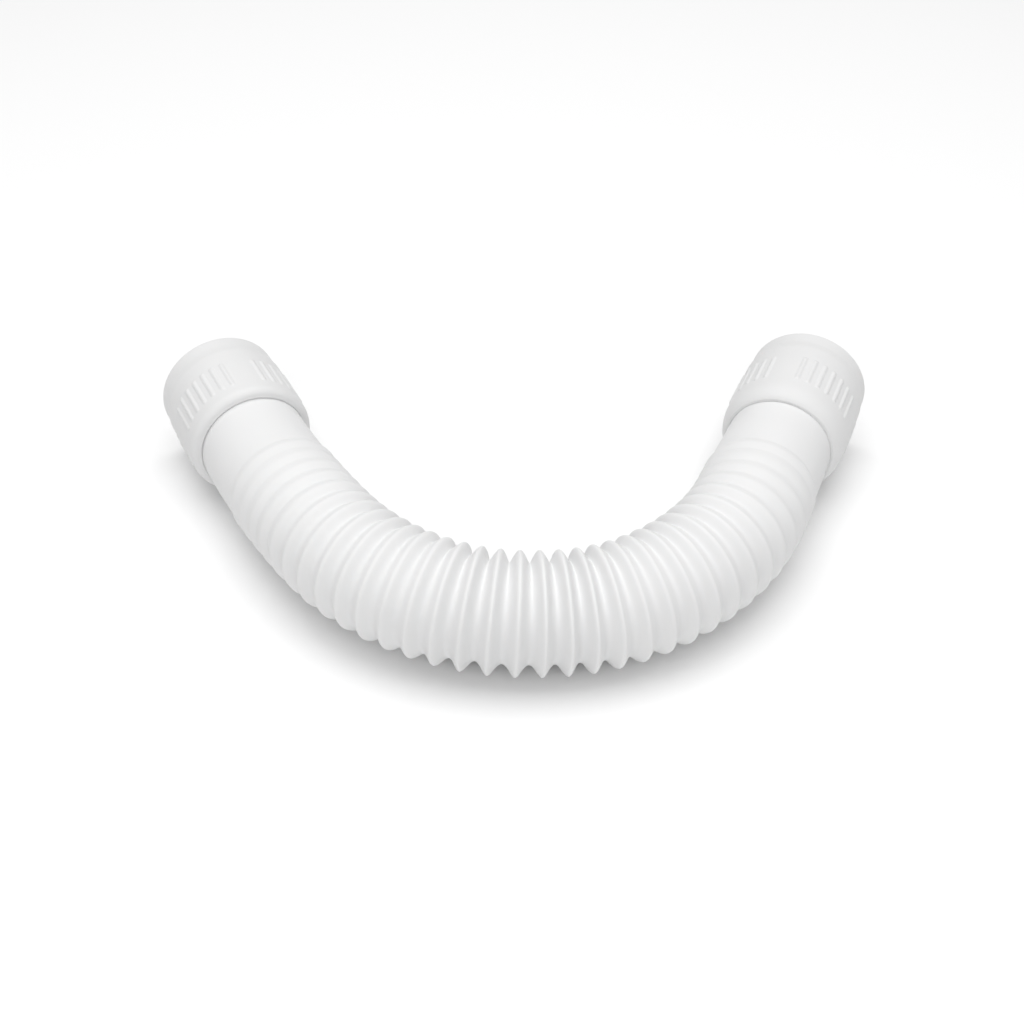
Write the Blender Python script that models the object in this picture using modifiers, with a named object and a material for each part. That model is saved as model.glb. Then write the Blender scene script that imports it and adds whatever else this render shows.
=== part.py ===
# Short corrugated hose with a swivelling push-fit cuff at each end.
# It lies on a flat floor in an open U: both cuffs point away, the bend is in
# front.  Metres, +Z up.  The floor is z = 0.
#
# Pieces:
#   corrugated_hose       thin-walled blown tube: smooth end, 32 rings, smooth end
#   left_end_cuff         stiff moulded cuff that turns round the hose end
#   right_end_cuff        the same moulding at the other end
#   left_swivel_sleeve    flanged insert inside the hose end, keeps the cuff on
#   right_swivel_sleeve   the same insert at the other end

import math

import bpy
from mathutils import Matrix, Vector

# ---------------------------------------------------------------- dimensions
MM = 0.001

# hose section
CREST_R = 20.0 * MM        # outer radius over a ring
RING_DEPTH = 4.0 * MM      # crest to root, where the bend pulls the rings open
LEG_RING_DEPTH = 2.2 * MM  # crest to root in the legs
END_RING_DEPTH = 0.3 * MM  # the rings fade to this beside the smooth ends
END_RING_RISE = 0.7 * MM   # a ring at the lip would stand this far over the smooth end
END_STEP = 0.3 * MM        # the smooth ends start this far below the last root
WALL = 1.1 * MM            # radial wall thickness in the rings
SMOOTH_R = 18.54 * MM      # outer radius of the smooth ends
SMOOTH_WALL = 1.0 * MM
PITCH = 6.64 * MM          # from ring to ring along the centreline, in the legs
PITCH_EXTRA = 0.75 * MM    # more than that in the bend
RINGS_LEFT = 16            # rings left of the reference ring
RINGS_RIGHT = 15           # rings right of it
RING_OFFSET = -9.0 * MM    # the reference ring's place on the centreline
OPEN_RING = -1.2           # the ring where the spacing is widest
OPEN_RINGS = 2.2           # and how many rings each way it takes to fall off
OPEN_AT = -12.6 * MM       # the middle of the stretch where the rings are deep
OPEN_FLAT = 12.0 * MM      # full depth this far each way
OPEN_EASE = 25.0 * MM      # and down to the legs' depth over this much more
FADE_FROM = 0.42           # share of a half length where the depth starts to fade
FADE_TO = 0.84
TAPER_FROM = 0.55          # the same for the radius over the rings
TAPER_TO = 0.95
HOSE_SIDES = 24

# centreline: s = 0 in the bend, negative to the left, positive to the right
HALF_LEFT = 144.0 * MM     # to the left cuff's lip
HALF_RIGHT = 119.0 * MM    # to the right cuff's lip
BEND_R = 77.3 * MM         # bend radius each side of the middle
BEND_LEFT = 88.4 * MM      # the bend runs this far to the left
BEND_RIGHT = 81.4 * MM
BEND_EASE = 16.0 * MM      # the bend eases into the legs over this length
LEFT_LEG_R = 347.0 * MM    # the left leg keeps a slight bend
FLAT_SHARE = 0.33          # the middle of the bend is this much flatter
FLAT_AT = -5.8 * MM
FLAT_HALF = 19.5 * MM
MID_X = 17.195 * MM
MID_Y = -53.495 * MM
MID_HEADING = 0.14715      # radians from +X
STEP = 1.0 * MM            # guide point spacing
LIFT = 2.0 * MM            # the stiff legs arch a little off the floor

# cuffs; a is measured along the axis from the lip to the mouth
CUFF_LEN = 41.1 * MM
LIP_OUTER_R = 19.6 * MM
BAND_R = 22.04 * MM        # grip band
SHOULDER_LEN = 7.4 * MM    # rounded from the lip up to the band
BAND_END = 33.1 * MM       # step down to the plain nose
NOSE_R = 21.5 * MM
LIP_BORE_R = 18.92 * MM
LIP_LEN = 3.0 * MM
GROOVE_R = 20.3 * MM       # holds the sleeve's flange
GROOVE_END = 8.5 * MM
SOCKET_R = 19.15 * MM      # takes a 38 mm tube
MOUTH_CHAMFER = 0.4 * MM
CUFF_SIDES = 48

# grip ribs: four groups of seven
RIB_GROUPS = 4
RIBS_IN_GROUP = 7
RIB_STEP = math.radians(10.0)
RIB_FROM = 10.5 * MM
RIB_TO = 24.8 * MM
RIB_W = 1.5 * MM
RIB_PROUD = 0.4 * MM
LEFT_RIB_PHASE = math.radians(-37.0)   # a group's middle, from straight up towards +X
RIGHT_RIB_PHASE = math.radians(32.0)

# swivel sleeves
INSERT = 3.1 * MM          # the hose reaches this far into the cuff
FLANGE_FROM = 3.4 * MM
FLANGE_TO = 8.1 * MM
FLANGE_R = 19.9 * MM
SPIGOT_R = 17.0 * MM       # inside the hose end
SPIGOT_FROM = -8.0 * MM
SLEEVE_BORE_R = 15.7 * MM
SLEEVE_SIDES = 48

CUFF_AXIS_Z = BAND_R + RIB_PROUD + 0.01 * MM   # a cuff lies on its ribs


# ---------------------------------------------------------------- helpers
def clear_scene():
    for ob in list(bpy.data.objects):
        bpy.data.objects.remove(ob, do_unlink=True)


def ease(t):
    t = min(1.0, max(0.0, t))
    return t * t * (3.0 - 2.0 * t)


def material(name, colour, roughness):
    m = bpy.data.materials.new(name)
    m.use_nodes = True
    b = m.node_tree.nodes["Principled BSDF"]
    b.inputs["Base Color"].default_value = (*colour, 1.0)
    b.inputs["Roughness"].default_value = roughness
    b.inputs["Metallic"].default_value = 0.0
    return m


def turned(name, profile, sides, collection):
    """A closed profile of (radius, z) points turned about local Z.

    The profile runs down its outer side and comes back up its bore.
    """
    mesh = bpy.data.meshes.new(name)
    n = len(profile)
    mesh.from_pydata(
        [(r, 0.0, z) for r, z in profile],
        [(i, (i + 1) % n) for i in range(n)],
        [],
    )
    ob = bpy.data.objects.new(name, mesh)
    collection.objects.link(ob)
    screw = ob.modifiers.new("turn", "SCREW")
    screw.axis = "Z"
    screw.angle = 2.0 * math.pi
    screw.steps = sides
    screw.render_steps = sides
    screw.use_merge_vertices = True
    screw.merge_threshold = 0.00001
    screw.use_smooth_shade = True
    return ob


def as_mesh(ob):
    """Applies an object's modifiers, so that its mesh can be joined to others."""
    graph = bpy.context.evaluated_depsgraph_get()
    mesh = bpy.data.meshes.new_from_object(ob.evaluated_get(graph))
    ob.modifiers.clear()
    ob.data = mesh
    return ob


# ---------------------------------------------------------------- centreline
def curvature(s):
    if s < 0.0:
        leg = 1.0 / LEFT_LEG_R
        bend = 1.0 - ease((-s - BEND_LEFT + BEND_EASE / 2) / BEND_EASE)
    else:
        leg = 0.0
        bend = 1.0 - ease((s - BEND_RIGHT + BEND_EASE / 2) / BEND_EASE)
    flat = 1.0 - ease(abs(s - FLAT_AT) / FLAT_HALF)
    return leg + (1.0 / BEND_R - leg) * bend - FLAT_SHARE / BEND_R * flat


def height(s):
    """The centreline is one crest radius up in the bend, a cuff's radius at the ends."""
    t = min(1.0, -s / HALF_LEFT if s < 0.0 else s / HALF_RIGHT)
    return CREST_R + (CUFF_AXIS_Z - CREST_R) * ease(t) + LIFT * math.sin(math.pi * t) ** 2


def walk(length, sign):
    """Points and heading along the centreline from s = 0 to sign * length."""
    count = int(round(length / (STEP * 0.25)))
    ds = length / count
    x, y, heading, s = MID_X, MID_Y, MID_HEADING, 0.0
    out = [(s, x, y, heading)]
    for _ in range(count):
        k = curvature(s + sign * ds / 2)
        mid = heading + sign * k * ds / 2
        x += sign * math.cos(mid) * ds
        y += sign * math.sin(mid) * ds
        heading += sign * k * ds
        s += sign * ds
        out.append((s, x, y, heading))
    return out


def guide_points(left, right):
    """The whole centreline, from the left cuff to the right, with straight ends."""
    pts = []
    sl, xl, yl, hl = left[-1]
    sr, xr, yr, hr = right[-1]
    pts.append(Vector((xl - math.cos(hl) * INSERT, yl - math.sin(hl) * INSERT, height(sl))))
    for s, x, y, _ in left[::-4]:
        pts.append(Vector((x, y, height(s))))
    for s, x, y, _ in right[4::4]:
        pts.append(Vector((x, y, height(s))))
    if (pts[-1] - Vector((xr, yr, height(sr)))).length > 1e-5:
        pts.append(Vector((xr, yr, height(sr))))
    pts.append(Vector((xr + math.cos(hr) * INSERT, yr + math.sin(hr) * INSERT, height(sr))))
    return pts


def guide_curve(pts, collection):
    cu = bpy.data.curves.new("hose_guide", "CURVE")
    cu.dimensions = "3D"
    cu.twist_mode = "Z_UP"
    cu.use_stretch = False
    sp = cu.splines.new("POLY")
    sp.points.add(len(pts) - 1)
    for p, v in zip(sp.points, pts):
        p.co = (v.x, v.y, v.z, 1.0)
    ob = bpy.data.objects.new("hose_guide", cu)
    ob.hide_render = True
    ob.display_type = "WIRE"
    collection.objects.link(ob)
    return ob


# ---------------------------------------------------------------- hose
def share(s):
    """How far along its half of the hose a place is, 0 to 1."""
    return -s / HALF_LEFT if s < 0.0 else s / HALF_RIGHT


def ring_place(k):
    """A ring's place on the centreline; k + 0.5 is the root after ring k."""
    more = math.tanh((k - OPEN_RING) / OPEN_RINGS) + math.tanh(OPEN_RING / OPEN_RINGS)
    return RING_OFFSET + k * PITCH + PITCH_EXTRA * OPEN_RINGS * more


def ring_depth(s):
    wide = 1.0 - ease((abs(s - OPEN_AT) - OPEN_FLAT) / OPEN_EASE)
    fade = ease((share(s) - FADE_FROM) / (FADE_TO - FADE_FROM))
    leg = LEG_RING_DEPTH + (END_RING_DEPTH - LEG_RING_DEPTH) * fade
    return leg + (RING_DEPTH - leg) * wide


def crest_radius(s):
    taper = ease((share(s) - TAPER_FROM) / (TAPER_TO - TAPER_FROM))
    return CREST_R + (SMOOTH_R + END_RING_RISE - CREST_R) * taper


def root_radius(s):
    return crest_radius(s) - ring_depth(s)


def hose_profile():
    start = -HALF_LEFT - INSERT
    end = HALF_RIGHT + INSERT
    first = ring_place(-RINGS_LEFT - 0.5)
    last = ring_place(RINGS_RIGHT + 0.5)
    rows = [(start, SMOOTH_R, SMOOTH_WALL), (first, root_radius(first) - END_STEP, SMOOTH_WALL)]
    for k in range(-RINGS_LEFT, RINGS_RIGHT + 1):
        s = ring_place(k)
        rows.append((s, crest_radius(s), WALL))
        if k < RINGS_RIGHT:
            s = ring_place(k + 0.5)
            rows.append((s, root_radius(s), WALL))
    rows += [(last, root_radius(last) - END_STEP, SMOOTH_WALL), (end, SMOOTH_R, SMOOTH_WALL)]
    outer = [(r, s - start) for s, r, _ in rows][::-1]
    bore = [(r - w, s - start) for s, r, w in rows]
    return outer + bore


def make_hose(collection, guides, pts, mat):
    ob = turned("corrugated_hose", hose_profile(), HOSE_SIDES, collection)
    bend = ob.modifiers.new("bend", "CURVE")
    bend.object = guide_curve(pts, guides)
    bend.deform_axis = "POS_Z"
    ob.data.materials.append(mat)
    return ob


# ---------------------------------------------------------------- cuffs
def cuff_profile():
    """Outer side from the mouth down to the lip, then the bore back up."""
    c = MOUTH_CHAMFER
    pts = [
        (NOSE_R - c, CUFF_LEN),
        (NOSE_R, CUFF_LEN - c),
        (NOSE_R, BAND_END + 0.5 * MM),
        (BAND_R, BAND_END - 0.3 * MM),
    ]
    n = 4
    for i in range(n + 1):
        # the shoulder is a quarter of an ellipse from the band to the lip
        q = 0.5 * math.pi * i / n
        a = SHOULDER_LEN * (1.0 - math.sin(q))
        r = LIP_OUTER_R + (BAND_R - LIP_OUTER_R) * math.cos(q)
        pts.append((r, a))
    pts += [
        (LIP_BORE_R + 0.3 * MM, 0.0),
        (LIP_BORE_R, 0.4 * MM),
        (LIP_BORE_R, LIP_LEN),
        (GROOVE_R, LIP_LEN),
        (GROOVE_R, GROOVE_END),
        (SOCKET_R, GROOVE_END),
        (SOCKET_R, CUFF_LEN - c),
        (SOCKET_R + c, CUFF_LEN),
    ]
    return pts


def rib_cutaway(name, angle, collection):
    """One grip rib: a low bar with rounded ends, sunk 0.6 mm into the band."""
    sunk = 0.6 * MM
    w = RIB_W / 2
    a0, a1 = RIB_FROM + w, RIB_TO - w
    outline = []
    for i in range(5):
        q = math.pi * i / 4
        outline.append((w * math.cos(q), a1 + w * math.sin(q)))
    for i in range(5):
        q = math.pi + math.pi * i / 4
        outline.append((w * math.cos(q), a0 + w * math.sin(q)))
    n = len(outline)
    low, top = BAND_R - sunk, BAND_R + RIB_PROUD
    ca, sa = math.cos(angle), math.sin(angle)

    def place(r, t, a):
        return (r * ca - t * sa, r * sa + t * ca, a)

    verts = [place(low, t, a) for t, a in outline]
    verts += [place(top, t * 0.72, a) for t, a in outline]
    faces = [tuple(reversed(range(n))), tuple(range(n, 2 * n))]
    faces += [(i, (i + 1) % n, n + (i + 1) % n, n + i) for i in range(n)]
    mesh = bpy.data.meshes.new(name)
    mesh.from_pydata(verts, [], faces)
    ob = bpy.data.objects.new(name, mesh)
    ob.hide_render = True
    ob.display_type = "WIRE"
    collection.objects.link(ob)
    return ob


def axis_frame(x, y, z, ux, uy):
    """Local Z along the cuff's axis towards its mouth, local X straight up."""
    u = Vector((ux, uy, 0.0)).normalized()
    up = Vector((0.0, 0.0, 1.0))
    side = u.cross(up)
    m = Matrix((
        (up.x, side.x, u.x, x),
        (up.y, side.y, u.y, y),
        (up.z, side.z, u.z, z),
        (0.0, 0.0, 0.0, 1.0),
    ))
    return m


def make_cuff(name, frame, phase, collection, cutters, mat):
    ob = turned(name, cuff_profile(), CUFF_SIDES, collection)
    as_mesh(ob)
    ob.data.materials.clear()
    ribs = []
    for g in range(RIB_GROUPS):
        for i in range(RIBS_IN_GROUP):
            ang = phase + g * 2.0 * math.pi / RIB_GROUPS
            ang += (i - (RIBS_IN_GROUP - 1) / 2) * RIB_STEP
            ribs.append(rib_cutaway("%s_rib_%d_%d" % (name, g, i), ang, cutters))
    group = bpy.data.collections.new(name + "_ribs")
    cutters.children.link(group)
    for r in ribs:
        cutters.objects.unlink(r)
        group.objects.link(r)
    join = ob.modifiers.new("ribs", "BOOLEAN")
    join.operation = "UNION"
    join.solver = "EXACT"
    join.operand_type = "COLLECTION"
    join.collection = group
    as_mesh(ob)
    ob.data.materials.clear()
    ob.data.materials.append(mat)
    for p in ob.data.polygons:
        p.material_index = 0
    ob.data.shade_smooth()
    ob.data.set_sharp_from_angle(angle=math.radians(32.0))
    ob.matrix_world = frame
    return ob


def make_sleeve(name, frame, collection, mat):
    profile = [
        (FLANGE_R, FLANGE_TO),
        (FLANGE_R, FLANGE_FROM),
        (SPIGOT_R, FLANGE_FROM),
        (SPIGOT_R, SPIGOT_FROM),
        (SLEEVE_BORE_R, SPIGOT_FROM),
        (SLEEVE_BORE_R, FLANGE_TO),
    ]
    ob = turned(name, profile, SLEEVE_SIDES, collection)
    ob.data.materials.append(mat)
    ob.matrix_world = frame
    return ob


# ---------------------------------------------------------------- assembly
def build():
    clear_scene()
    scene = bpy.context.scene
    parts = bpy.data.collections.new("corrugated_hose_with_cuffs")
    guides = bpy.data.collections.new("guides_and_cutters")
    scene.collection.children.link(parts)
    scene.collection.children.link(guides)

    hose_mat = material("white_hose_plastic", (0.82, 0.82, 0.81), 0.34)
    cuff_mat = material("white_cuff_plastic", (0.80, 0.80, 0.79), 0.30)
    sleeve_mat = material("grey_sleeve_plastic", (0.55, 0.55, 0.55), 0.45)

    left = walk(HALF_LEFT, -1)
    right = walk(HALF_RIGHT, 1)
    make_hose(parts, guides, guide_points(left, right), hose_mat)

    _, xl, yl, hl = left[-1]
    _, xr, yr, hr = right[-1]
    left_frame = axis_frame(xl, yl, CUFF_AXIS_Z, -math.cos(hl), -math.sin(hl))
    right_frame = axis_frame(xr, yr, CUFF_AXIS_Z, math.cos(hr), math.sin(hr))
    make_cuff("left_end_cuff", left_frame, LEFT_RIB_PHASE, parts, guides, cuff_mat)
    make_cuff("right_end_cuff", right_frame, RIGHT_RIB_PHASE, parts, guides, cuff_mat)
    make_sleeve("left_swivel_sleeve", left_frame, parts, sleeve_mat)
    make_sleeve("right_swivel_sleeve", right_frame, parts, sleeve_mat)
    bpy.context.view_layer.update()


build()
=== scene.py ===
# Looks of a short corrugated hose with a swivelling push-fit cuff at each end.
# It lies on a white floor in an open U.  Metres, +Z up, the floor is z = 0.

import math

import bpy
import numpy as np
from mathutils import Matrix, Vector


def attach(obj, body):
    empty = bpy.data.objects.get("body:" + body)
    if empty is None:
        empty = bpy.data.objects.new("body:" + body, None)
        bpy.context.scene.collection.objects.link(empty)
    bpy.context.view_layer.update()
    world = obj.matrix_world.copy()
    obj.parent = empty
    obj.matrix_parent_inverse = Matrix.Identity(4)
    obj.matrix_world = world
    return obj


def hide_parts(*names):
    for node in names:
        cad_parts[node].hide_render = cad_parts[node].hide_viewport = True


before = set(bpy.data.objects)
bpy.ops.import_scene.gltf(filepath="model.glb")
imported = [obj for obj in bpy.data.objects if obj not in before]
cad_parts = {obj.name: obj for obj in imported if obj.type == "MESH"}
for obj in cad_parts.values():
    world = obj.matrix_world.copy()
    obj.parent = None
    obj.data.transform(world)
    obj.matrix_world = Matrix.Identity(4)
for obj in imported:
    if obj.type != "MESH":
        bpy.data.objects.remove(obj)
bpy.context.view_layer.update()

MM = 0.001
scene = bpy.context.scene


# ------------------------------------------------------------------- camera
ELEVATION = 0.71558
ROLL = 0.0091
FOCAL_PX = 1492.7
SIDE_PX = 1024.0


def make_camera():
    right = Vector((1.0, 0.0, 0.0))
    up = Vector((0.0, math.sin(ELEVATION), math.cos(ELEVATION)))
    look = Vector((0.0, math.cos(ELEVATION), -math.sin(ELEVATION)))
    r2 = right * math.cos(ROLL) + up * math.sin(ROLL)
    u2 = up * math.cos(ROLL) - right * math.sin(ROLL)
    place = Vector((-0.001036, -0.386429, 0.35086))
    data = bpy.data.cameras.new("camera")
    data.sensor_fit = "HORIZONTAL"
    data.sensor_width = 36.0
    data.lens = 36.0 * FOCAL_PX / SIDE_PX
    data.clip_start = 0.01
    data.clip_end = 50.0
    cam = bpy.data.objects.new("camera", data)
    cam.matrix_world = Matrix((
        (r2.x, u2.x, -look.x, place.x),
        (r2.y, u2.y, -look.y, place.y),
        (r2.z, u2.z, -look.z, place.z),
        (0.0, 0.0, 0.0, 1.0),
    ))
    scene.collection.objects.link(cam)
    scene.camera = cam
    return cam


camera = make_camera()


# --------------------------------------------------------------- centreline
# The same line as the CAD hose: s = 0 in the bend, negative to the left.
HALF_LEFT, HALF_RIGHT = 144.0 * MM, 119.0 * MM
BEND_R, BEND_LEFT, BEND_RIGHT, BEND_EASE = 77.3 * MM, 88.4 * MM, 81.4 * MM, 16.0 * MM
LEFT_LEG_R = 347.0 * MM
FLAT_SHARE, FLAT_AT, FLAT_HALF = 0.33, -5.8 * MM, 19.5 * MM
MID_X, MID_Y, MID_HEADING = 17.195 * MM, -53.495 * MM, 0.14715
LIFT = 2.0 * MM
CREST_R = 20.0 * MM
CUFF_AXIS_Z = 22.45 * MM
INSERT, LEFT_INSERT = 3.1 * MM, 4.0 * MM
STEP = 0.25 * MM


def ease(t):
    t = np.clip(t, 0.0, 1.0)
    return t * t * (3.0 - 2.0 * t)


def curvature(s):
    if s < 0.0:
        leg = 1.0 / LEFT_LEG_R
        bend = 1.0 - float(ease((-s - BEND_LEFT + BEND_EASE / 2) / BEND_EASE))
    else:
        leg = 0.0
        bend = 1.0 - float(ease((s - BEND_RIGHT + BEND_EASE / 2) / BEND_EASE))
    flat = 1.0 - float(ease(abs(s - FLAT_AT) / FLAT_HALF))
    return leg + (1.0 / BEND_R - leg) * bend - FLAT_SHARE / BEND_R * flat


def height(s):
    t = np.minimum(1.0, np.where(s < 0.0, -s / HALF_LEFT, s / HALF_RIGHT))
    return CREST_R + (CUFF_AXIS_Z - CREST_R) * ease(t) + LIFT * np.sin(math.pi * t) ** 2


def walk(length, sign):
    count = int(round(length / STEP))
    ds = length / count
    x, y, heading, s = MID_X, MID_Y, MID_HEADING, 0.0
    out = [(s, x, y, heading)]
    for _ in range(count):
        k = curvature(s + sign * ds / 2)
        mid = heading + sign * k * ds / 2
        x += sign * math.cos(mid) * ds
        y += sign * math.sin(mid) * ds
        heading += sign * k * ds
        s += sign * ds
        out.append((s, x, y, heading))
    return out


def whole_line():
    left = walk(HALF_LEFT, -1)
    right = walk(HALF_RIGHT, 1)
    sl, xl, yl, hl = left[-1]
    sr, xr, yr, hr = right[-1]
    d = LEFT_INSERT
    line = [(sl - d, xl - math.cos(hl) * d, yl - math.sin(hl) * d, hl)]
    line += left[::-1] + right[1:]
    line += [(sr + INSERT, xr + math.cos(hr) * INSERT, yr + math.sin(hr) * INSERT, hr)]
    return np.array(line)


LINE = whole_line()
S0, S1 = LINE[0, 0], LINE[-1, 0]


def line_at(s):
    """Centre, tangent, up and outward side of the line at each s."""
    s = np.asarray(s, float)
    x = np.interp(s, LINE[:, 0], LINE[:, 1])
    y = np.interp(s, LINE[:, 0], LINE[:, 2])
    h = np.interp(s, LINE[:, 0], LINE[:, 3])
    z = height(np.clip(s, -HALF_LEFT, HALF_RIGHT))
    d = 0.5 * MM
    slope = (height(np.clip(s + d, -HALF_LEFT, HALF_RIGHT))
             - height(np.clip(s - d, -HALF_LEFT, HALF_RIGHT))) / (2 * d)
    c = np.stack([x, y, z], 1)
    t = np.stack([np.cos(h), np.sin(h), slope], 1)
    t /= np.linalg.norm(t, axis=1, keepdims=True)
    side = np.stack([np.sin(h), -np.cos(h), np.zeros_like(h)], 1)
    up = np.cross(side, t)
    return c, t, up, side


# ------------------------------------------------------------------- hose
PITCH, PITCH_EXTRA, RING_OFFSET = 6.64 * MM, 0.75 * MM, -9.0 * MM
OPEN_RING, OPEN_RINGS = -1.2, 2.2
RINGS_LEFT, RINGS_RIGHT = 16, 15
RING_DEPTH, LEG_RING_DEPTH, END_RING_DEPTH = 4.0 * MM, 2.2 * MM, 0.3 * MM
END_RING_RISE, END_STEP = 1.3 * MM, 0.4 * MM
OPEN_AT, OPEN_FLAT, OPEN_EASE = -12.6 * MM, 12.0 * MM, 25.0 * MM
SMOOTH_R, SMOOTH_WALL, WALL = 18.54 * MM, 1.0 * MM, 1.1 * MM
FADE_FROM, FADE_TO, TAPER_FROM, TAPER_TO = 0.42, 0.84, 0.55, 0.95
RIGHT_FADE_FROM = 0.34
HOSE_SIDES = 72
# how far the sharp edge of a ring is rounded, in half pitches, and how steep it is
OUTER_TIP, OUTER_POWER = 0.5, 2.4
INNER_TIP, INNER_POWER = 0.14, 2.2
LEFT_LIP_R = 18.95 * MM   # the left end is a little wider where it goes into its cuff


def share(s):
    return np.where(s < 0.0, -s / HALF_LEFT, s / HALF_RIGHT)


def ring_place(k):
    more = np.tanh((k - OPEN_RING) / OPEN_RINGS) + math.tanh(OPEN_RING / OPEN_RINGS)
    return RING_OFFSET + k * PITCH + PITCH_EXTRA * OPEN_RINGS * more


RING_NUMBERS = np.linspace(-24.0, 24.0, 4801)
RING_PLACES = ring_place(RING_NUMBERS)
FIRST = float(ring_place(-RINGS_LEFT - 0.5))
LAST = float(ring_place(RINGS_RIGHT + 0.5))


def ring_depth(s):
    wide = 1.0 - ease((np.abs(s - OPEN_AT) - OPEN_FLAT) / OPEN_EASE)
    fade = ease((share(s) - np.where(s < 0.0, FADE_FROM, RIGHT_FADE_FROM)) / (FADE_TO - FADE_FROM))
    leg = LEG_RING_DEPTH + (END_RING_DEPTH - LEG_RING_DEPTH) * fade
    return leg + (RING_DEPTH - leg) * wide


def crest_radius(s):
    taper = ease((share(s) - TAPER_FROM) / (TAPER_TO - TAPER_FROM))
    return CREST_R + (SMOOTH_R + END_RING_RISE - CREST_R) * taper


def root_radius(s):
    return crest_radius(s) - ring_depth(s)


def smooth_radius(s):
    """The plain ends taper a little from the rings to the lip."""
    at = np.array([FIRST, LAST])
    r = root_radius(at) - END_STEP
    left = np.interp(s, [-HALF_LEFT + MM, FIRST], [LEFT_LIP_R, max(r[0], LEFT_LIP_R)])
    right = np.interp(s, [LAST, HALF_RIGHT - MM], [r[1], SMOOTH_R])
    return np.where(s < 0.0, left, right)


def bentness(s):
    """1 in the bend, 0 in the legs."""
    k = np.array([curvature(float(v)) for v in s])
    return ease((k * BEND_R - 0.25) / 0.4)


def pointed(t, tip, power):
    """From a pointed crest (t = 0) down to a round valley (t = 1)."""
    g = (np.sqrt(t * t + tip * tip) - tip) / (math.sqrt(1.0 + tip * tip) - tip)
    return 1.0 - (1.0 - g) ** power


def ring_fall(t, w):
    """How far the wall has dropped between crest and valley, 0 to 1.

    w is 1 on the outside of the bend, where the wall is pulled open to pointed
    crests and round valleys, and 0 on the inside, where it is the other way.
    """
    outer = pointed(t, OUTER_TIP, OUTER_POWER)
    inner = 1.0 - pointed(1.0 - t, INNER_TIP, INNER_POWER)
    return outer * w + inner * (1.0 - w)


def wall_radius(s, cos_out, bent):
    """Outer radius for stations s (column) and directions cos_out (row)."""
    p = np.interp(s, RING_PLACES, RING_NUMBERS)
    k = np.clip(np.round(p), -RINGS_LEFT, RINGS_RIGHT)
    t = np.clip(np.abs(p - k) * 2.0, 0.0, 1.0)
    ends = (p < -RINGS_LEFT) | (p > RINGS_RIGHT)
    base = np.where(ends, smooth_radius(s), root_radius(s))
    crest = np.where((s <= FIRST) | (s >= LAST), base, crest_radius(s))
    w = 0.5 + 0.5 * cos_out[None, :] * bent[:, None] - 0.12 * (1.0 - bent[:, None])
    f = ring_fall(t[:, None], np.clip(w, 0.0, 1.0))
    return base[:, None] + (crest - base)[:, None] * (1.0 - f)


def stations(cuts):
    """Stations along the hose, closer together at crests and valleys."""
    out = [S0, -HALF_LEFT - 2 * MM, -HALF_LEFT]
    out += list(np.linspace(-HALF_LEFT + MM, FIRST, 7)[:-1])
    for k in range(-RINGS_LEFT, RINGS_RIGHT + 1):
        out += [ring_place(k - c / 2) for c in cuts[::-1]][:-1]
        out += [ring_place(k + c / 2) for c in cuts][:-1]
    out += list(np.linspace(LAST, HALF_RIGHT - MM, 7))
    out += [HALF_RIGHT, HALF_RIGHT + 2 * MM, S1]
    return np.array(out)


def tube_faces(rows, sides, start, flip):
    i, j = np.meshgrid(np.arange(rows - 1), np.arange(sides), indexing="ij")
    a = start + i * sides + j
    b = start + i * sides + (j + 1) % sides
    c, d = b + sides, a + sides
    quads = np.stack([a, b, c, d], -1).reshape(-1, 4)
    return quads[:, ::-1] if flip else quads


def mesh_object(name, verts, faces, material):
    mesh = bpy.data.meshes.new(name)
    mesh.from_pydata([tuple(v) for v in verts], [], [tuple(int(i) for i in f) for f in faces])
    mesh.validate()
    mesh.shade_smooth()
    ob = bpy.data.objects.new(name, mesh)
    scene.collection.objects.link(ob)
    mesh.materials.append(material)
    return ob


def make_hose(material):
    angle = np.linspace(0.0, 2.0 * math.pi, HOSE_SIDES, endpoint=False)
    ca, sa = np.cos(angle), np.sin(angle)

    def skin(s, inset):
        c, _, up, side = line_at(s)
        r = wall_radius(s, sa, bentness(s)) - inset[:, None]
        ring = up[:, None, :] * ca[None, :, None] + side[:, None, :] * sa[None, :, None]
        return (c[:, None, :] + ring * r[:, :, None]).reshape(-1, 3)

    fine = [0.0, 0.03, 0.07, 0.13, 0.21, 0.33, 0.5, 0.67, 0.79, 0.87, 0.93, 0.97, 1.0]
    coarse = [0.0, 0.2, 0.5, 0.8, 1.0]
    so, si = stations(fine), stations(coarse)
    inset = np.where((si <= FIRST) | (si >= LAST), SMOOTH_WALL, WALL)
    outer, inner = skin(so, np.zeros(len(so))), skin(si, inset)
    n = len(outer)
    verts = np.concatenate([outer, inner])
    faces = [tube_faces(len(so), HOSE_SIDES, 0, True), tube_faces(len(si), HOSE_SIDES, n, False)]
    j = np.arange(HOSE_SIDES)
    k = (j + 1) % HOSE_SIDES
    faces.append(np.stack([j, k, n + k, n + j], 1))
    eo, ei = n - HOSE_SIDES, len(verts) - HOSE_SIDES
    faces.append(np.stack([eo + k, eo + j, ei + j, ei + k], 1))
    return mesh_object("hose", verts, np.concatenate(faces), material)


# ------------------------------------------------------------------- cuffs
CUFF_LEN, LIP_OUTER_R, BAND_R, SHOULDER_LEN = 41.1, 19.6, 22.04, 7.4
BAND_END, NOSE_R = 33.1, 21.5
GROOVE_R, GROOVE_END, SOCKET_R = 20.3, 8.5, 19.15
RIB_GROUPS, RIBS_IN_GROUP, RIB_STEP = 4, 7, 10.0
RIB_FROM, RIB_TO, RIB_W, RIB_PROUD, RIB_SOFT = 10.3, 25.0, 2.4, 0.4, 1.1
LEFT_RIB_PHASE, RIGHT_RIB_PHASE = -37.0, 32.0
CUFF_SIDES = 720


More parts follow.
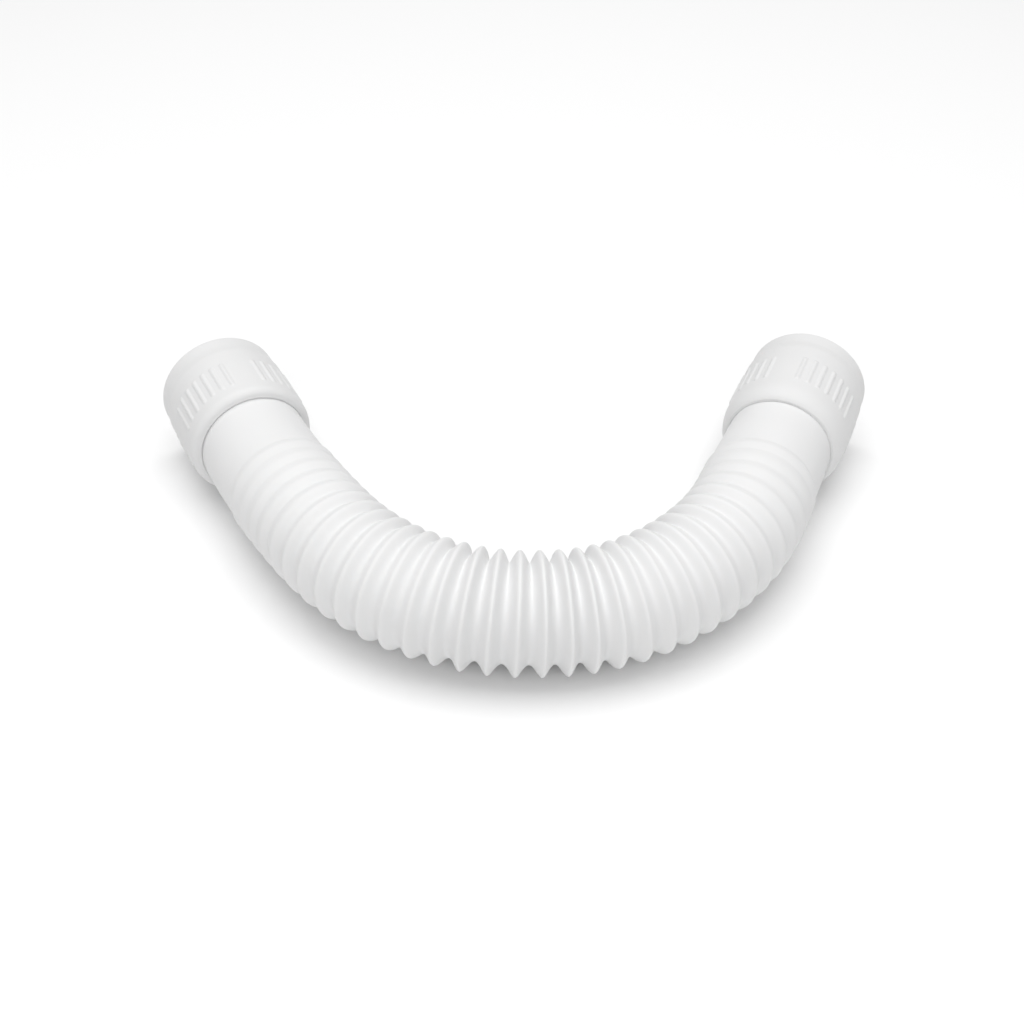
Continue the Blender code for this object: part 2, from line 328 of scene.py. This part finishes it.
def arc(cr, ca, rad, a0, a1, n):
    """Points on a circle about (radius cr, along ca), angles in degrees."""
    return [(cr + rad * math.cos(math.radians(a)), ca + rad * math.sin(math.radians(a)))
            for a in np.linspace(a0, a1, n)]


def cuff_profile(lip_at, lip_end, fit_r, gap):
    """(radius, along) in mm: down the outside from mouth to lip, back up inside.

    The lip runs from lip_at to lip_end.  A shallow bevel as wide as gap leads down
    from its rim to the bore of radius fit_r, which the hose end fills.
    """
    f = 0.7
    pts = [(SOCKET_R + 1.2, CUFF_LEN)]
    pts += arc(NOSE_R - f, CUFF_LEN - f, f, 90.0, 0.0, 7)
    pts += [(NOSE_R, a) for a in (39.4, 38.2, 37.0)]
    rise = BAND_R - NOSE_R
    for i in range(0, 13):
        u = i / 12
        pts.append((NOSE_R + rise * u * u * (3 - 2 * u), 36.2 - 5.2 * u))
    pts += [(BAND_R, a) for a in (29.5, 27.5, 26.2)]
    for end in (RIB_TO, RIB_FROM):
        span = np.linspace(0.25, -1.55, 13) if end == RIB_TO else np.linspace(1.55, -0.25, 13)
        pts += [(BAND_R, end + v) for v in span]
        if end == RIB_TO:
            pts += [(BAND_R, a) for a in np.linspace(RIB_TO - 2.4, RIB_FROM + 2.4, 7)]
    pts += [(BAND_R, a) for a in (9.4, 8.4)]
    # the shoulder is part of an ellipse that stops short of turning square to the hose
    stop = math.radians(74.0)
    far, drop = math.cos(stop), 1.0 - math.sin(stop)
    low_r = (LIP_OUTER_R + 0.05 - BAND_R * far) / (1.0 - far)
    low_a = (lip_at + 0.12 - SHOULDER_LEN * drop) / (1.0 - drop)
    n = 16
    for i in range(n + 1):
        q = stop * i / n
        pts.append((low_r + (BAND_R - low_r) * math.cos(q),
                    low_a + (SHOULDER_LEN - low_a) * (1.0 - math.sin(q))))
    pts += [(LIP_OUTER_R - 0.02, lip_at + 0.03), (LIP_OUTER_R - 0.1, lip_at)]
    pts += [(fit_r + gap + 0.06, lip_at), (fit_r + gap, lip_at + 0.2 * gap),
            (fit_r + 0.52 * gap, lip_at + 0.45 * gap), (fit_r + 0.14 * gap, lip_at + 0.85 * gap),
            (fit_r, lip_at + gap)]
    bore = fit_r
    pts += [(bore, lip_end - 0.1), (bore + 0.1, lip_end), (GROOVE_R - 0.1, lip_end),
            (GROOVE_R, lip_end + 0.1), (GROOVE_R, GROOVE_END - 0.1),
            (GROOVE_R - 0.1, GROOVE_END), (SOCKET_R + 0.25, GROOVE_END),
            (SOCKET_R, GROOVE_END + 0.25)]
    pts += [(SOCKET_R, a) for a in (16.0, 24.0, 32.0, CUFF_LEN - 1.6)]
    pts += [(SOCKET_R + 0.12, CUFF_LEN - 1.1), (SOCKET_R + 0.9, CUFF_LEN - 0.12)]
    return np.array(pts)


def rib_height(along, angle, phase):
    """How proud the surface stands at each point, from the nearest rib."""
    h = np.zeros(np.broadcast(along, angle).shape)
    half = RIB_W / 2
    for g in range(RIB_GROUPS):
        for i in range(RIBS_IN_GROUP):
            mid = math.radians(phase + g * 360.0 / RIB_GROUPS + (i - (RIBS_IN_GROUP - 1) / 2) * RIB_STEP)
            d = (angle - mid + math.pi) % (2 * math.pi) - math.pi
            t = d * BAND_R
            a = np.clip(along, RIB_FROM + half, RIB_TO - half)
            inside = half - np.sqrt(t * t + (along - a) ** 2)
            u = np.clip(inside / RIB_SOFT, 0.0, 1.0)
            h = np.maximum(h, RIB_PROUD * u * u * (3 - 2 * u))
    return h


def cuff_matrix(side):
    row = LINE[1] if side == "left" else LINE[-2]    # the cuff's end of the line
    sign = -1.0 if side == "left" else 1.0
    u = Vector((sign * math.cos(row[3]), sign * math.sin(row[3]), 0.0))
    up = Vector((0.0, 0.0, 1.0))
    across = u.cross(up)
    return np.array([
        [up.x, across.x, u.x, row[1]],
        [up.y, across.y, u.y, row[2]],
        [up.z, across.z, u.z, CUFF_AXIS_Z],
    ])


def placed(points, side):
    m = cuff_matrix(side)
    return points @ m[:, :3].T + m[:, 3]


def turned(name, profile, sides, side, material, phase=None):
    angle = np.linspace(0.0, 2.0 * math.pi, sides, endpoint=False)
    r = np.repeat(profile[:, :1], sides, axis=1)
    a = np.repeat(profile[:, 1:], sides, axis=1)
    if phase is not None:
        on_band = np.abs(profile[:, 0] - BAND_R) < 1e-6
        r[on_band] += rib_height(a[on_band], angle[None, :], phase)
    pts = np.stack([r * np.cos(angle), r * np.sin(angle), a], -1).reshape(-1, 3) * MM
    rows = len(profile)
    faces = tube_faces(rows, sides, 0, False)
    j = np.arange(sides)
    k = (j + 1) % sides
    e = (rows - 1) * sides
    faces = np.concatenate([faces, np.stack([e + j, e + k, k, j], 1)])
    return mesh_object(name, placed(pts, side), faces, material)


def sleeve_profile(flange_at):
    f = flange_at
    return np.array([
        (19.9, 8.0), (19.9, f + 0.1), (19.8, f), (17.05, f), (17.0, f - 0.05), (17.0, -7.6),
        (16.8, -8.0), (15.9, -8.0), (15.7, -7.8), (15.7, -2.0), (15.7, 3.0), (15.7, 7.6),
        (16.1, 8.1), (19.8, 8.1),
    ])


# --------------------------------------------------------------- materials
def plastic(name, colour, roughness, shine, grain, waviness, scatter):
    """Satin white plastic: faint shade and gloss variation, fine moulded skin."""
    m = bpy.data.materials.new(name)
    m.use_nodes = True
    nt = m.node_tree
    b = nt.nodes["Principled BSDF"]
    b.inputs["Metallic"].default_value = 0.0
    b.inputs["IOR"].default_value = 1.5
    b.inputs["Specular IOR Level"].default_value = shine
    b.inputs["Subsurface Weight"].default_value = scatter
    b.inputs["Subsurface Radius"].default_value = (1.0, 0.95, 0.9)
    b.inputs["Subsurface Scale"].default_value = 0.0015

    geo = nt.nodes.new("ShaderNodeTexCoord")
    cloud = nt.nodes.new("ShaderNodeTexNoise")
    cloud.inputs["Scale"].default_value = 28.0
    cloud.inputs["Detail"].default_value = 3.0
    nt.links.new(geo.outputs["Object"], cloud.inputs["Vector"])
    tone = nt.nodes.new("ShaderNodeValToRGB")
    lo = [c * 0.975 for c in colour]
    tone.color_ramp.elements[0].position = 0.3
    tone.color_ramp.elements[0].color = (*lo, 1.0)
    tone.color_ramp.elements[1].position = 0.7
    tone.color_ramp.elements[1].color = (*colour, 1.0)
    nt.links.new(cloud.outputs["Fac"], tone.inputs["Fac"])
    nt.links.new(tone.outputs["Color"], b.inputs["Base Color"])

    streak = nt.nodes.new("ShaderNodeTexNoise")
    streak.inputs["Scale"].default_value = 160.0
    streak.inputs["Detail"].default_value = 2.0
    nt.links.new(geo.outputs["Object"], streak.inputs["Vector"])
    gloss = nt.nodes.new("ShaderNodeMapRange")
    gloss.inputs["To Min"].default_value = roughness - 0.05
    gloss.inputs["To Max"].default_value = roughness + 0.07
    nt.links.new(streak.outputs["Fac"], gloss.inputs["Value"])
    nt.links.new(gloss.outputs["Result"], b.inputs["Roughness"])

    skin = nt.nodes.new("ShaderNodeTexNoise")
    skin.inputs["Scale"].default_value = 2600.0
    skin.inputs["Detail"].default_value = 2.0
    nt.links.new(geo.outputs["Object"], skin.inputs["Vector"])
    fine = nt.nodes.new("ShaderNodeBump")
    fine.inputs["Strength"].default_value = grain
    fine.inputs["Distance"].default_value = 0.00002
    nt.links.new(skin.outputs["Fac"], fine.inputs["Height"])
    flow = nt.nodes.new("ShaderNodeTexNoise")
    flow.inputs["Scale"].default_value = 90.0
    flow.inputs["Detail"].default_value = 1.0
    nt.links.new(geo.outputs["Object"], flow.inputs["Vector"])
    wave = nt.nodes.new("ShaderNodeBump")
    wave.inputs["Strength"].default_value = waviness
    wave.inputs["Distance"].default_value = 0.0002
    nt.links.new(flow.outputs["Fac"], wave.inputs["Height"])
    nt.links.new(fine.outputs["Normal"], wave.inputs["Normal"])
    nt.links.new(wave.outputs["Normal"], b.inputs["Normal"])
    return m


hose_mat = plastic("hose_plastic", (0.79, 0.79, 0.79), 0.5, 0.1, 0.25, 0.25, 0.25)
cuff_mat = plastic("cuff_plastic", (0.755, 0.755, 0.755), 0.5, 0.25, 0.3, 0.1, 0.12)
sleeve_mat = plastic("sleeve_plastic", (0.62, 0.62, 0.62), 0.45, 0.3, 0.3, 0.1, 0.0)


# ------------------------------------------------------------------ pieces
hose = make_hose(hose_mat)
left_cuff = turned("left_cuff", cuff_profile(3.7, 4.2, 18.97, 0.03), CUFF_SIDES, "left",
                   cuff_mat, LEFT_RIB_PHASE)
right_cuff = turned("right_cuff", cuff_profile(0.0, 3.0, 18.56, 0.02), CUFF_SIDES, "right",
                    cuff_mat, RIGHT_RIB_PHASE)
left_sleeve = turned("left_sleeve", sleeve_profile(4.4), 144, "left", sleeve_mat)
right_sleeve = turned("right_sleeve", sleeve_profile(3.4), 144, "right", sleeve_mat)

for piece, node, body, slot in (
    (hose, "corrugated_hose", "hose_body", "hose_plastic"),
    (left_sleeve, "left_swivel_sleeve", "hose_body", "sleeve_plastic"),
    (right_sleeve, "right_swivel_sleeve", "hose_body", "sleeve_plastic"),
    (left_cuff, "left_end_cuff", "left_cuff_body", "cuff_plastic"),
    (right_cuff, "right_end_cuff", "right_cuff_body", "cuff_plastic"),
):
    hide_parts(node)
    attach(piece, body)

route = np.arange(S0, S1, 1.0 * MM)
route = np.append(route, S1)
[tuple(p) for p in line_at(route)[0]]


# ------------------------------------------------------- floor and lighting
def make_floor():
    mesh = bpy.data.meshes.new("floor")
    mesh.from_pydata([(-3, -3, 0), (3, -3, 0), (3, 3, 0), (-3, 3, 0)], [], [(0, 1, 2, 3)])
    ob = bpy.data.objects.new("floor", mesh)
    m = bpy.data.materials.new("floor_white")
    m.use_nodes = True
    b = m.node_tree.nodes["Principled BSDF"]
    b.inputs["Base Color"].default_value = (0.93, 0.93, 0.93, 1.0)
    b.inputs["Roughness"].default_value = 0.9
    b.inputs["Specular IOR Level"].default_value = 0.0
    mesh.materials.append(m)
    scene.collection.objects.link(ob)


def area(name, place, target, w, h, watts):
    data = bpy.data.lights.new(name, "AREA")
    data.shape = "RECTANGLE"
    data.size, data.size_y = w, h
    data.energy = watts
    ob = bpy.data.objects.new(name, data)
    ob.location = place
    ob.rotation_euler = (Vector(target) - Vector(place)).to_track_quat("-Z", "Y").to_euler()
    scene.collection.objects.link(ob)
    return ob


make_floor()
area("overhead", (0.0, 0.1, 1.5), (0.0, 0.0, 0.0), 1.7, 1.4, 21.2)
area("front_box", (-0.06, -1.0, 0.8), (0.0, -0.05, 0.02), 1.2, 0.6, 4.2)

world = bpy.data.worlds.new("studio")
scene.world = world
world.use_nodes = True
world.node_tree.nodes["Background"].inputs["Color"].default_value = (1.0, 1.0, 1.0, 1.0)
world.node_tree.nodes["Background"].inputs["Strength"].default_value = 0.31
scene.view_settings.view_transform = "Standard"
scene.view_settings.look = "None"
